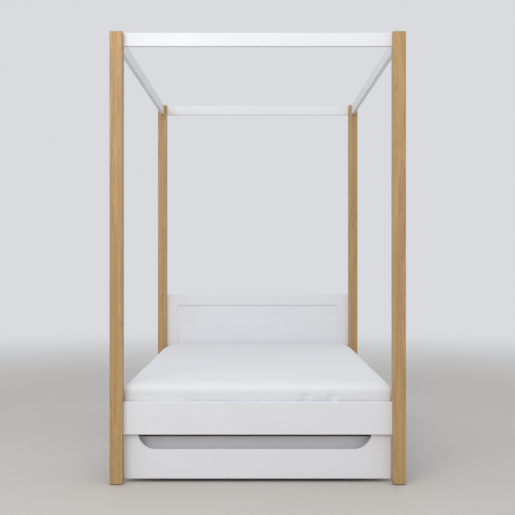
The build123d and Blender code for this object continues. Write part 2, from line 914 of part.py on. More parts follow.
for side_name, side in SIDES:
    for row_name, row_y in zip(("front", "back"), castor_ys):
        save(make_housing(side, row_y), f"castor_housing_{row_name}_{side_name}")
        save(make_wheel(side, row_y), f"castor_wheel_{row_name}_{side_name}")
save(make_axles(), "castor_axles")

save(make_studs(), "corner_studs")
save(make_washers(), "corner_washers")
save(make_nuts(), "corner_nuts")
save(make_dowels(), "corner_dowels")
save(make_drawer_dowels(), "drawer_dowels")
save(make_screws(castor_screw_planes(), castor_screw_length), "castor_screws")
save(make_screws(all_drawer_screw_planes(), drawer_screw_length), "drawer_screws")
ledger_planes = ledger_screw_planes(-1) + ledger_screw_planes(1)
save(make_screws(ledger_planes, ledger_screw_length), "ledger_screws")
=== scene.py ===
# The looks of a four poster bed with a wheeled drawer at its foot: lacquered oak posts, thin white
# beams and boards, a mattress under a fitted cotton sheet, and the castors under the drawer.
# Metres, +Z up, the foot end towards -Y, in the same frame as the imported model.

import logging
import math
from collections.abc import Callable, Iterator
from contextlib import contextmanager
from dataclasses import dataclass
from enum import Enum
from functools import cache

import bmesh
import bpy
import numpy as np
from mathutils import Matrix, Vector, noise


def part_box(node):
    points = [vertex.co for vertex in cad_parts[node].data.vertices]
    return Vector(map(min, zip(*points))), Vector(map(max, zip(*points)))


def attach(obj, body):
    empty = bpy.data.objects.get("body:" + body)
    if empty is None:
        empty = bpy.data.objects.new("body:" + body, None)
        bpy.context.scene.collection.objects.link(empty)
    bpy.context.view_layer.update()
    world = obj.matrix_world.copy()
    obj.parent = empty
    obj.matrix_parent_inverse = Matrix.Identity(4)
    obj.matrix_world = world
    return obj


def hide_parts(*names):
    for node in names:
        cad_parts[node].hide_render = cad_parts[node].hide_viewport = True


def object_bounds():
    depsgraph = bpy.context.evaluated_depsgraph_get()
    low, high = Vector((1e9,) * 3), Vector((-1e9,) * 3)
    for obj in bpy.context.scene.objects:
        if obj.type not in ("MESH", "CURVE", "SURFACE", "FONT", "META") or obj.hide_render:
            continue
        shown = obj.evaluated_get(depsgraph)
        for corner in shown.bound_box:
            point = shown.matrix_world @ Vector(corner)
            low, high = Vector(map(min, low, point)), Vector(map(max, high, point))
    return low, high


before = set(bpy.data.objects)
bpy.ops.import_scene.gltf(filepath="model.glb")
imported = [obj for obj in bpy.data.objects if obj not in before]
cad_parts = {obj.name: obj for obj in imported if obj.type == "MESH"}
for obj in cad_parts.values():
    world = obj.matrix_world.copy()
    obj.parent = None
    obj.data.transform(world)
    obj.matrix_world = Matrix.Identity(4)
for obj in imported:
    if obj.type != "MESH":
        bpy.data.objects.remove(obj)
cad_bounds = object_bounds()

log = logging.getLogger("four_poster_bed")

MM = 0.001
Colour = tuple[float, float, float]
Place = tuple[float, float, float]
Sockets = dict[str, bpy.types.NodeSocket]


class Grain(Enum):
    """The way that the fibres of a wooden piece run."""

    ACROSS = (0.0, math.pi / 2, 0.0)
    ALONG = (math.pi / 2, 0.0, 0.0)
    UPRIGHT = (0.0, 0.0, 0.0)


class Row(Enum):
    """The two rows of castors under the drawer."""

    FRONT = "front"
    BACK = "back"


class Side(Enum):
    """The two long sides of the bed."""

    LEFT = "left"
    RIGHT = "right"


# ---------------------------------------------------------------- mesh work


def activate(piece: bpy.types.Object) -> None:
    """Selects one object alone and makes it the active one.

    Args:
        piece: The object to work on.
    """
    if bpy.context.object is not None and bpy.context.object.mode != "OBJECT":
        bpy.ops.object.mode_set(mode="OBJECT")
    bpy.ops.object.select_all(action="DESELECT")
    piece.select_set(True)
    bpy.context.view_layer.objects.active = piece


@contextmanager
def editing(piece: bpy.types.Object, elements: str = "FACE") -> Iterator[None]:
    """Opens an object in edit mode with nothing selected, and closes it again.

    Args:
        piece: The object to edit.
        elements: VERT, EDGE or FACE, what is selected inside.
    """
    activate(piece)
    bpy.ops.object.mode_set(mode="EDIT")
    bpy.ops.mesh.select_mode(type=elements)
    bpy.ops.mesh.select_all(action="DESELECT")
    yield
    bpy.ops.object.mode_set(mode="OBJECT")


def pick_faces(piece: bpy.types.Object, wanted: Callable[[Vector, Vector], bool]) -> None:
    """Selects the faces that pass a test, in edit mode.

    Args:
        piece: The object in edit mode.
        wanted: Says yes or no to a face, from its centre and its normal.
    """
    shape = bmesh.from_edit_mesh(piece.data)
    for face in shape.faces:
        face.select_set(wanted(face.calc_center_median(), face.normal))
    shape.select_flush_mode()
    bmesh.update_edit_mesh(piece.data)


def pick_edges(piece: bpy.types.Object, wanted: Callable[[Vector, Vector], bool]) -> None:
    """Selects the edges that pass a test, in edit mode.

    Args:
        piece: The object in edit mode.
        wanted: Says yes or no to an edge, from its middle and its direction.
    """
    shape = bmesh.from_edit_mesh(piece.data)
    for edge in shape.edges:
        start, end = edge.verts[0].co, edge.verts[1].co
        edge.select_set(wanted((start + end) / 2, (end - start).normalized()))
    shape.select_flush_mode()
    bmesh.update_edit_mesh(piece.data)


def settle(piece: bpy.types.Object) -> None:
    """Moves an object's place, turn and size into its mesh.

    Args:
        piece: The finished object.
    """
    activate(piece)
    bpy.ops.object.transform_apply(location=True, rotation=True, scale=True)


def apply_modifiers(piece: bpy.types.Object) -> None:
    """Applies all of an object's modifiers, in order.

    Args:
        piece: The object to finish.
    """
    activate(piece)
    for modifier in list(piece.modifiers):
        bpy.ops.object.modifier_apply(modifier=modifier.name)


def add_block(name: str, middle: Vector, size: Vector) -> bpy.types.Object:
    """Adds a block at a place, with its size in its mesh.

    Args:
        name: The piece's name.
        middle: The middle of the block.
        size: Its three sides.

    Returns:
        The new object, at the origin.
    """
    bpy.ops.object.select_all(action="DESELECT")
    bpy.ops.mesh.primitive_cube_add(size=1.0, location=middle)
    block = bpy.context.object
    block.name = name
    block.data.name = name
    block.scale = size
    settle(block)
    return block


def join_pieces(pieces: list[bpy.types.Object], name: str) -> bpy.types.Object:
    """Joins several finished objects into one.

    Args:
        pieces: The objects to join.
        name: The name of the result.

    Returns:
        The joined object.
    """
    bpy.ops.object.select_all(action="DESELECT")
    for piece in pieces:
        piece.select_set(True)
    bpy.context.view_layer.objects.active = pieces[0]
    bpy.ops.object.join()
    pieces[0].name = name
    pieces[0].data.name = name
    return pieces[0]


def copy_at(model: bpy.types.Object, name: str, placing: Matrix) -> bpy.types.Object:
    """Copies a modelled piece with its own mesh, and places the mesh.

    Args:
        model: The piece that is repeated.
        name: The copy's name.
        placing: The turn and move from the model to the copy.

    Returns:
        The copy, at the origin.
    """
    twin = model.copy()
    twin.data = model.data.copy()
    twin.name = name
    twin.data.name = name
    bpy.context.scene.collection.objects.link(twin)
    twin.data.transform(placing)
    return twin


def smooth_edges(piece: bpy.types.Object, angle_deg: float = 40.0) -> None:
    """Shades an object smooth, but for its sharp edges.

    Args:
        piece: The object to shade.
        angle_deg: The angle from which an edge stays sharp.
    """
    activate(piece)
    bpy.ops.object.shade_smooth_by_angle(angle=math.radians(angle_deg))


def dress(piece: bpy.types.Object, material: bpy.types.Material) -> None:
    """Gives an object one material all over.

    Args:
        piece: The object to dress.
        material: Its finish.
    """
    piece.data.materials.clear()
    piece.data.materials.append(material)


def report(piece: bpy.types.Object, words: str) -> None:
    """Logs what a piece is and how many faces it has.

    Args:
        piece: The piece that is ready.
        words: What it is.
    """
    log.info("%-28s %7d faces  %s", piece.name, len(piece.data.polygons), words)


def dress_node(node: str, material: bpy.types.Material, words: str) -> None:
    """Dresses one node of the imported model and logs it.

    Args:
        node: The node's name.
        material: Its finish.
        words: What it is.
    """
    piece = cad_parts[node]
    dress(piece, material)
    report(piece, words)


def read_vertices(mesh: bpy.types.Mesh, field: str) -> np.ndarray:
    """Reads a vector at each of a mesh's vertices.

    Args:
        mesh: The mesh to read.
        field: co for the places, normal for the outward directions.

    Returns:
        One row for each vertex.
    """
    flat = np.empty(3 * len(mesh.vertices), dtype=np.float32)
    mesh.vertices.foreach_get(field, flat)
    return flat.reshape(-1, 3).astype(float)


def set_points(piece: bpy.types.Object, points: np.ndarray) -> None:
    """Moves a mesh's points.

    Args:
        piece: The object to change.
        points: One row for each point.
    """
    piece.data.vertices.foreach_set("co", points.astype(np.float32).ravel())
    piece.data.update()


def run_cloth(piece: bpy.types.Object, frames: int) -> np.ndarray:
    """Runs the simulation of a piece's cloth from its first frame.

    Args:
        piece: The object with a Cloth modifier.
        frames: How many frames it runs.

    Returns:
        Where its points have come to.
    """
    scene = bpy.context.scene
    for frame_number in range(1, frames + 1):
        scene.frame_set(frame_number)
    draped = piece.evaluated_get(bpy.context.evaluated_depsgraph_get())
    places = read_vertices(draped.data, "co")
    scene.frame_set(1)
    return places


def soft_step(share: np.ndarray) -> np.ndarray:
    """Rises smoothly from 0 to 1, and stays there.

    Args:
        share: How far along the rise each value is.

    Returns:
        The height of the rise at each value.
    """
    held = np.clip(share, 0.0, 1.0)
    return held * held * (3.0 - 2.0 * held)


def solids_of(node: str) -> list[tuple[Vector, Vector]]:
    """Finds the boxes of the separate solids in one node, sorted by their place.

    Args:
        node: A node that holds a group of like solids.

    Returns:
        The lowest and highest corner of each solid.
    """
    shape = bmesh.new()
    shape.from_mesh(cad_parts[node].data)
    bmesh.ops.remove_doubles(shape, verts=shape.verts, dist=0.01 * MM)
    left, found = set(shape.verts), []
    while left:
        island, edge_of_island = set(), [left.pop()]
        while edge_of_island:
            vertex = edge_of_island.pop()
            island.add(vertex)
            for edge in vertex.link_edges:
                other = edge.other_vert(vertex)
                if other in left:
                    left.discard(other)
                    edge_of_island.append(other)
        points = np.array([vertex.co for vertex in island])
        found.append((Vector(points.min(0)), Vector(points.max(0))))
    shape.free()
    return sorted(found, key=lambda box: tuple(round(x, 4) for x in box[0]))


# ---------------------------------------------------------------- shader work


class Graph:
    """Adds nodes to one material or one shader group, and links them."""

    def __init__(self, tree: bpy.types.NodeTree) -> None:
        """Keeps the tree that the nodes go into."""
        self.tree = tree

    def add(self, kind: str, **settings: object) -> bpy.types.Node:
        """Adds one node.

        Args:
            kind: The node's type, without its ShaderNode prefix.
            settings: Properties of the node, by name.

        Returns:
            The new node.
        """
        node = self.tree.nodes.new(f"ShaderNode{kind}")
        for name, value in settings.items():
            setattr(node, name, value)
        return node

    def feed(self, node: bpy.types.Node, **inputs: object) -> bpy.types.Node:
        """Sets or links a node's inputs.

        Args:
            node: The node to feed.
            inputs: A value, or a socket of another node, by the input's name with _ for a space.

        Returns:
            The same node.
        """
        for name, value in inputs.items():
            socket = node.inputs[name.replace("_", " ")]
            if isinstance(value, bpy.types.NodeSocket):
                self.tree.links.new(value, socket)
            else:
                socket.default_value = value
        return node

    def calculate(self, operation: str, *terms: object) -> bpy.types.NodeSocket:
        """Adds a sum, product or other calculation on numbers.

        Args:
            operation: The Math node's operation.
            terms: Numbers or sockets, in order.

        Returns:
            The result's socket.
        """
        node = self.add("Math", operation=operation)
        for socket, term in zip(node.inputs, terms):
            if isinstance(term, bpy.types.NodeSocket):
                self.tree.links.new(term, socket)
            else:
                socket.default_value = term
        return node.outputs[0]

    def stretch(self, vector: bpy.types.NodeSocket, scale: Place) -> bpy.types.NodeSocket:
        """Multiplies a position by a scale on each axis.

        Args:
            vector: The position.
            scale: How many times finer the pattern is along each axis.

        Returns:
            The scaled position.
        """
        node = self.add("VectorMath", operation="MULTIPLY")
        self.tree.links.new(vector, node.inputs[0])
        node.inputs[1].default_value = scale
        return node.outputs[0]

    def enlarge(self, vector: bpy.types.NodeSocket, factor: bpy.types.NodeSocket) -> bpy.types.NodeSocket:
        """Multiplies a position by one factor on all axes.

        Args:
            vector: The position.
            factor: How many times finer the pattern is.

        Returns:
            The scaled position.
        """
        node = self.add("VectorMath", operation="SCALE")
        self.tree.links.new(vector, node.inputs[0])
        self.tree.links.new(factor, node.inputs["Scale"])
        return node.outputs[0]

    def noise(self, vector: bpy.types.NodeSocket, scale: float, detail: float = 3.0,
              rough: float = 0.5, twist: float = 0.0) -> bpy.types.NodeSocket:
        """Adds a noise pattern.

        Args:
            vector: The position that it reads.
            scale: How many blotches there are in a metre of that position.
            detail: How many finer layers it has.
            rough: How strong the finer layers are.
            twist: How far it distorts itself.

        Returns:
            The noise's value, about 0 to 1.
        """
        node = self.add("TexNoise")
        self.feed(node, Vector=vector, Scale=scale, Detail=detail, Roughness=rough, Distortion=twist)
        return node.outputs[0]

    def between(self, value: bpy.types.NodeSocket, low: float, high: float,
                out_low: float = 0.0, out_high: float = 1.0) -> bpy.types.NodeSocket:
        """Maps a value from one range to another, and holds it there.

        Args:
            value: The value to map.
            low: The value that gives out_low.
            high: The value that gives out_high.
            out_low: The result at low.
            out_high: The result at high.

        Returns:
            The mapped value.
        """
        node = self.add("MapRange", interpolation_type="SMOOTHSTEP")
        self.feed(node, Value=value, From_Min=low, From_Max=high, To_Min=out_low, To_Max=out_high)
        return node.outputs[0]

    def blend(self, share: object, first: object, second: object) -> bpy.types.NodeSocket:
        """Mixes two colours.

        Args:
            share: How much of the second colour there is.
            first: A colour or a socket.
            second: A colour or a socket.

        Returns:
            The mixed colour.
        """
        node = self.add("Mix", data_type="RGBA")
        share_socket, first_socket, second_socket = node.inputs[0], node.inputs[6], node.inputs[7]
        for socket, value in ((share_socket, share), (first_socket, first), (second_socket, second)):
            if isinstance(value, bpy.types.NodeSocket):
                self.tree.links.new(value, socket)
            elif isinstance(value, tuple):
                socket.default_value = (*value, 1.0)
            else:
                socket.default_value = value
        return node.outputs[2]


def shared_group(effect: Callable[[Graph, Sockets], Sockets], values: list[str]) -> bpy.types.NodeTree:
    """Finds the shader group of an effect, or builds it the first time.

    Args:
        effect: The function that adds the group's nodes.
        values: The names of the group's inputs, besides Position.

    Returns:
        The group.
    """
    found = bpy.data.node_groups.get(effect.__name__)
    if found:
        return found
    tree = bpy.data.node_groups.new(effect.__name__, "ShaderNodeTree")
    tree.interface.new_socket("Position", in_out="INPUT", socket_type="NodeSocketVector")
    for label in values:
        tree.interface.new_socket(label, in_out="INPUT", socket_type="NodeSocketFloat")
    results = effect(Graph(tree), tree.nodes.new("NodeGroupInput").outputs)
    for label in results:
        tree.interface.new_socket(label, in_out="OUTPUT", socket_type="NodeSocketFloat")
    end = tree.nodes.new("NodeGroupOutput")
    for label, value in results.items():
        tree.links.new(value, end.inputs[label])
    return tree


def wood_grain(graph: Graph, ends: Sockets) -> Sockets:
    """The figure, fibres and pores of wood whose fibres run along the position's Z.

    Args:
        graph: The group's nodes.
        ends: Its inputs, Position, Spacing and Pore Share.

    Returns:
        Its outputs, Figure, Fibre, Pores and Height.
    """
    place = graph.enlarge(ends["Position"], ends["Spacing"])
    bands = graph.noise(graph.stretch(place, (34.0, 34.0, 1.1)), 1.0, 2.0, 0.45, 0.6)
    rings = graph.calculate("FRACT", graph.calculate("MULTIPLY", bands, 7.0))
    soft_rings = graph.calculate("PINGPONG", rings, 0.5)
    figure = graph.calculate("ADD", graph.calculate("MULTIPLY", bands, 0.7),
                             graph.calculate("MULTIPLY", soft_rings, 0.6))
    fibre = graph.noise(graph.stretch(place, (260.0, 260.0, 5.0)), 1.0, 3.0, 0.6)
    streaks = graph.noise(graph.stretch(place, (820.0, 820.0, 24.0)), 1.0, 1.0, 0.4)
    crowd = graph.noise(graph.stretch(place, (60.0, 60.0, 2.0)), 1.0, 1.0)
    limit = graph.calculate("SUBTRACT", 0.78, graph.calculate("MULTIPLY", ends["Pore Share"], crowd))
    pores = graph.between(graph.calculate("SUBTRACT", streaks, limit), 0.0, 0.08)
    height = graph.calculate("SUBTRACT", graph.calculate("MULTIPLY", fibre, 0.35),
                             graph.calculate("MULTIPLY", pores, 0.65))
    return {"Figure": figure, "Fibre": fibre, "Pores": pores, "Height": height}


def sprayed_lacquer(graph: Graph, ends: Sockets) -> Sockets:
    """The faint unevenness of sprayed lacquer, with the wood's lines just showing through.

    Args:
        graph: The group's nodes.
        ends: Its inputs, Position and Show Through.

    Returns:
        Its outputs, Shade, Gloss and Height.
    """
    place = ends["Position"]
    peel = graph.noise(place, 620.0, 2.0, 0.4)
    cloud = graph.noise(place, 5.0, 3.0, 0.55)
    lines = graph.noise(graph.stretch(place, (300.0, 300.0, 4.0)), 1.0, 3.0, 0.6)
    shown = graph.calculate("MULTIPLY", lines, ends["Show Through"])
    height = graph.calculate("ADD", graph.calculate("MULTIPLY", peel, 0.45), shown)
    shade = graph.calculate("MULTIPLY_ADD", cloud, 0.6, graph.calculate("MULTIPLY", shown, 0.5))
    gloss = graph.calculate("MULTIPLY_ADD", peel, 0.3, graph.calculate("MULTIPLY", cloud, 0.7))
    return {"Shade": shade, "Gloss": gloss, "Height": height}


def handling(graph: Graph, ends: Sockets) -> Sockets:
    """Smudges, scuffs and a little settled dust.

    Args:
        graph: The group's nodes.
        ends: Its inputs, Position and Amount.

    Returns:
        Its outputs, Smudge, Scuff and Dust.
    """
    place = ends["Position"]
    smudge = graph.between(graph.noise(place, 11.0, 4.0, 0.6, 0.4), 0.42, 0.72)
    scratch = graph.noise(graph.stretch(place, (45.0, 260.0, 120.0)), 1.0, 2.0, 0.5, 1.2)
    scuff = graph.between(scratch, 0.68, 0.78)
    upward = graph.add("SeparateXYZ")
    graph.tree.links.new(graph.add("NewGeometry").outputs["Normal"], upward.inputs[0])
    settled = graph.between(upward.outputs["Z"], 0.6, 0.95)
    specks = graph.between(graph.noise(place, 90.0, 4.0, 0.7), 0.35, 0.8)
    dust = graph.calculate("MULTIPLY", settled, specks)
    return {label: graph.calculate("MULTIPLY", value, ends["Amount"])
            for label, value in (("Smudge", smudge), ("Scuff", scuff), ("Dust", dust))}


def plain_weave(graph: Graph, ends: Sockets) -> Sockets:
    """Threads of a plain weave, the same on every side of a piece.

    Args:
        graph: The group's nodes.
        ends: Its inputs, Position and Threads.

    Returns:
        Its outputs, Thread, Slub and Height.
    """
    place = graph.enlarge(ends["Position"], ends["Threads"])
    warp = graph.noise(graph.stretch(place, (1500.0, 90.0, 1500.0)), 1.0, 1.0, 0.5)
    weft = graph.noise(graph.stretch(place, (90.0, 1500.0, 1500.0)), 1.0, 1.0, 0.5)
    rise = graph.noise(graph.stretch(place, (1500.0, 1500.0, 90.0)), 1.0, 1.0, 0.5)
    thread = graph.calculate("MULTIPLY_ADD", rise, 0.3,
                             graph.calculate("MULTIPLY", graph.calculate("ADD", warp, weft), 0.35))
    slub = graph.noise(graph.stretch(place, (240.0, 20.0, 240.0)), 1.0, 2.0, 0.6)
    height = graph.calculate("MULTIPLY_ADD", slub, 0.3, graph.calculate("MULTIPLY", thread, 0.7))
    return {"Thread": thread, "Slub": slub, "Height": height}


class Paint:
    """The common start of every material: its shader, its position and its bump."""

    def __init__(self, name: str, turn: Place = (0.0, 0.0, 0.0)) -> None:
        """Makes the material, with the object's position turned for its pattern.

        Args:
            name: The material's name.
            turn: How the pattern is turned.
        """
        self.material = bpy.data.materials.new(name)
        self.material.use_nodes = True
        self.graph = Graph(self.material.node_tree)
        self.shader = self.material.node_tree.nodes["Principled BSDF"]
        position = self.graph.add("TexCoord")
        mapping = self.graph.add("Mapping")
        self.graph.feed(mapping, Vector=position.outputs["Object"], Rotation=turn)
        self.place = mapping.outputs[0]

    def group(self, effect: Callable[[Graph, Sockets], Sockets], **inputs: float) -> Sockets:
        """Places the shader group of an effect, which reads the pattern's position.

        Args:
            effect: The function that builds the shared group.
            inputs: The material's own values for it, by name with _ for a space.

        Returns:
            Its outputs, by name.
        """
        tree = shared_group(effect, [name.replace("_", " ") for name in inputs])
        node = self.graph.add("Group", node_tree=tree)
        self.graph.feed(node, Position=self.place, **inputs)
        return {socket.name: socket for socket in node.outputs}

    def bump(self, height: bpy.types.NodeSocket, strength: float, distance: float,
             under: bpy.types.NodeSocket | None = None) -> bpy.types.NodeSocket:
        """Adds a bump and feeds it to the shader.

        Args:
            height: The pattern that stands out.
            strength: How strong it is.
            distance: How far it stands out, in metres.
            under: The normal of a bump below this one.

        Returns:
            The bumped normal.
        """
        node = self.graph.add("Bump")
        self.graph.feed(node, Height=height, Strength=strength, Distance=distance)
        if under is not None:
            self.graph.feed(node, Normal=under)
        self.graph.feed(self.shader, Normal=node.outputs[0])
        return node.outputs[0]


@dataclass(frozen=True)
class WoodFinish:
    """Clear-finished or bare wood, with its figure, fibres and pores."""

    name: str
    pale: Colour
    deep: Colour
    pore: Colour
    spacing: float
    pore_share: float
    low_rough: float
    high_rough: float
    coat: float
    bump_depth: float

    @cache
    def material(self, grain: Grain) -> bpy.types.Material:
        """Makes the wood for a piece whose fibres run one way.

        Args:
            grain: The way of the fibres.

        Returns:
            The material.
        """
        paint = Paint(f"{self.name}_{grain.name.lower()}", grain.value)
        graph = paint.graph
        wood = paint.group(wood_grain, Spacing=self.spacing, Pore_Share=self.pore_share)
        wear = paint.group(handling, Amount=0.6)
        tone = graph.between(wood["Figure"], 0.2, 0.75)
        body = graph.blend(tone, self.deep, self.pale)
        streaked = graph.blend(graph.between(wood["Fibre"], 0.35, 0.7, 0.0, 0.4), body, self.deep)
        pored = graph.blend(graph.calculate("MULTIPLY", wood["Pores"], 0.7), streaked, self.pore)
        rough = graph.between(wood["Fibre"], 0.3, 0.7, self.low_rough, self.high_rough)
        worn = graph.calculate("MULTIPLY_ADD", wear["Smudge"], 0.08, rough)
        graph.feed(paint.shader, Base_Color=pored, Roughness=worn)
        paint.shader.inputs["Coat Weight"].default_value = self.coat
        paint.shader.inputs["Coat Roughness"].default_value = 0.28
        paint.bump(wood["Height"], 0.5, self.bump_depth)
        return paint.material


@dataclass(frozen=True)
class LacquerFinish:
    """Opaque satin lacquer sprayed on wood."""

    name: str
    light: Colour
    shade: Colour
    low_rough: float
    high_rough: float
    show_through: float

    @cache
    def material(self, grain: Grain) -> bpy.types.Material:
        """Makes the lacquer for a board that runs one way.

        Args:
            grain: The way of the fibres under the lacquer.

        Returns:
            The material.
        """
        paint = Paint(f"{self.name}_{grain.name.lower()}", grain.value)
        graph = paint.graph
        coat = paint.group(sprayed_lacquer, Show_Through=self.show_through)
        wear = paint.group(handling, Amount=0.5)
        tint = graph.blend(graph.between(coat["Shade"], 0.25, 0.75), self.light, self.shade)
        marked = graph.blend(graph.calculate("MULTIPLY", wear["Scuff"], 0.10), tint, self.shade)
        rough = graph.between(coat["Gloss"], 0.3, 0.7, self.low_rough, self.high_rough)
        worn = graph.calculate("MULTIPLY_ADD", wear["Smudge"], 0.10, rough)
        graph.feed(paint.shader, Base_Color=marked, Roughness=worn)
        paint.shader.inputs["Specular IOR Level"].default_value = 0.45
        paint.bump(coat["Height"], 0.28, 0.12 * MM)
        return paint.material


@dataclass(frozen=True)
class ClothFinish:
    """Woven cotton, from a fine sheet to a coarse tape, with painted shade in the hollows between its
    threads.
    """

    name: str
    light: Colour
    shade: Colour
    threads: float
    bump_depth: float
    sheen: float
    crease_depth: float

    @cache
    def material(self) -> bpy.types.Material:
        """Makes the cloth.

        Returns:
            The material.
        """
        paint = Paint(self.name)
        graph = paint.graph
        cloth = paint.group(plain_weave, Threads=self.threads)
        crumple = graph.noise(paint.place, 26.0, 5.0, 0.58, 0.8)
        # Painted shade: the cloth is lighter where the threads stand high and darker in the low places
        # between them, the same pattern as the bump. The slubs below are a real darker tone.
        tint = graph.blend(graph.between(cloth["Thread"], 0.3, 0.7), self.shade, self.light)
        slubbed_with_painted_shade = graph.blend(graph.between(cloth["Slub"], 0.55, 0.8, 0.0, 0.25), tint, self.shade)
        rough = graph.between(cloth["Slub"], 0.3, 0.7, 0.82, 0.94)
        graph.feed(paint.shader, Base_Color=slubbed_with_painted_shade, Roughness=rough)
        paint.shader.inputs["Sheen Weight"].default_value = self.sheen
        paint.shader.inputs["Sheen Roughness"].default_value = 0.45
        paint.shader.inputs["Specular IOR Level"].default_value = 0.25
        creased = paint.bump(crumple, 0.6, self.crease_depth)
        paint.bump(cloth["Height"], 0.5, self.bump_depth, creased)
        return paint.material


@dataclass(frozen=True)
class MouldedFinish:
    """Moulded plastic with a fine texture and rubbed high spots."""

    name: str
    body: Colour
    rubbed: Colour
    rough: float

    @cache
    def material(self) -> bpy.types.Material:
        """Makes the plastic.

        Returns:
            The material.
        """
        paint = Paint(self.name)
        graph = paint.graph
        wear = paint.group(handling, Amount=0.8)
        grit = graph.noise(paint.place, 1400.0, 2.0, 0.5)
        mottled = graph.blend(graph.noise(paint.place, 70.0, 3.0), self.body, self.rubbed)
        marked = graph.blend(wear["Scuff"], mottled, self.rubbed)
        dusty = graph.blend(graph.calculate("MULTIPLY", wear["Dust"], 0.35), marked, (0.42, 0.40, 0.37))
        rough = graph.calculate("MULTIPLY_ADD", wear["Smudge"], 0.12, self.rough)
        graph.feed(paint.shader, Base_Color=dusty, Roughness=rough)
        paint.bump(grit, 0.25, 0.05 * MM)
        return paint.material


@dataclass(frozen=True)
class ZincFinish:
    """Bright zinc plating on steel, with its spangle and a little tarnish."""

    name: str
    bright: Colour
    dull: Colour

    @cache
    def material(self) -> bpy.types.Material:
        """Makes the plating.

        Returns:
            The material.
        """
        paint = Paint(self.name)
        graph = paint.graph
        wear = paint.group(handling, Amount=0.7)
        spangle = graph.noise(paint.place, 320.0, 3.0, 0.6)
        tint = graph.blend(graph.between(spangle, 0.35, 0.65), self.bright, self.dull)
        rough = graph.between(spangle, 0.3, 0.7, 0.28, 0.46)
        worn = graph.calculate("MULTIPLY_ADD", wear["Smudge"], 0.15, rough)
        metal = graph.calculate("SUBTRACT", 1.0, graph.calculate("MULTIPLY", wear["Dust"], 0.3))
        graph.feed(paint.shader, Base_Color=tint, Roughness=worn, Metallic=metal)
        paint.bump(spangle, 0.2, 0.03 * MM)
        return paint.material


OAK = WoodFinish("honey_oak", (0.54, 0.345, 0.152), (0.40, 0.24, 0.093), (0.23, 0.125, 0.048),
                 1.0, 0.35, 0.44, 0.58, 0.06, 0.15 * MM)
PINE = WoodFinish("bare_pine", (0.74, 0.58, 0.38), (0.62, 0.43, 0.24), (0.40, 0.24, 0.12),
                  0.55, 0.12, 0.55, 0.68, 0.0, 0.12 * MM)
BEECH = WoodFinish("bare_beech", (0.70, 0.52, 0.35), (0.60, 0.42, 0.27), (0.45, 0.28, 0.16),
                   1.6, 0.2, 0.5, 0.62, 0.0, 0.08 * MM)
WHITE = LacquerFinish("white_lacquer", (0.79, 0.795, 0.815), (0.75, 0.755, 0.775), 0.34, 0.46, 0.4)
SHEET = ClothFinish("cotton_sheet", (0.78, 0.786, 0.808), (0.73, 0.736, 0.757),
                    1.0, 0.06 * MM, 0.12, 0.7 * MM)
TICKING = ClothFinish("mattress_ticking", (0.78, 0.77, 0.73), (0.66, 0.65, 0.61),
                      0.5, 0.16 * MM, 0.1, 0.3 * MM)
TAPE = ClothFinish("cotton_tape", (0.70, 0.67, 0.60), (0.55, 0.52, 0.45), 0.35, 0.22 * MM, 0.08, 0.1 * MM)
CASTOR_BODY = MouldedFinish("castor_plastic", (0.030, 0.030, 0.032), (0.075, 0.075, 0.078), 0.42)
CASTOR_TREAD = MouldedFinish("wheel_plastic", (0.070, 0.070, 0.074), (0.145, 0.142, 0.138), 0.5)
GLIDE = MouldedFinish("glide_plastic", (0.022, 0.019, 0.016), (0.055, 0.050, 0.045), 0.5)
ZINC = ZincFinish("bright_zinc", (0.68, 0.68, 0.66), (0.50, 0.50, 0.47))


# ---------------------------------------------------------------- the studio


@dataclass(frozen=True)
class Lamp:
    """One large soft lamp: where it hangs, what it points at, and its light."""

    name: str
    place: Place
    target: Place
    side: float
    watts: float
    colour: Colour

    def build(self) -> None:
        """Hangs the lamp and turns it to its target."""
        light = bpy.data.lights.new(self.name, "AREA")
        light.size = self.side
        light.energy = self.watts
        light.color = self.colour
        holder = bpy.data.objects.new(self.name, light)
        holder.location = self.place
        aim = Vector(self.target) - Vector(self.place)
        holder.rotation_euler = aim.to_track_quat("-Z", "Y").to_euler()
        bpy.context.scene.collection.objects.link(holder)


KEY_LIGHT = Lamp("key_light", (-1.7, -4.9, 3.1), (0.0, -0.6, 1.2), 2.4, 78.0, (1.0, 0.985, 0.96))
TOP_LIGHT = Lamp("top_light", (0.3, -1.8, 4.4), (0.0, -0.2, 0.6), 3.0, 30.0, (0.97, 0.985, 1.0))


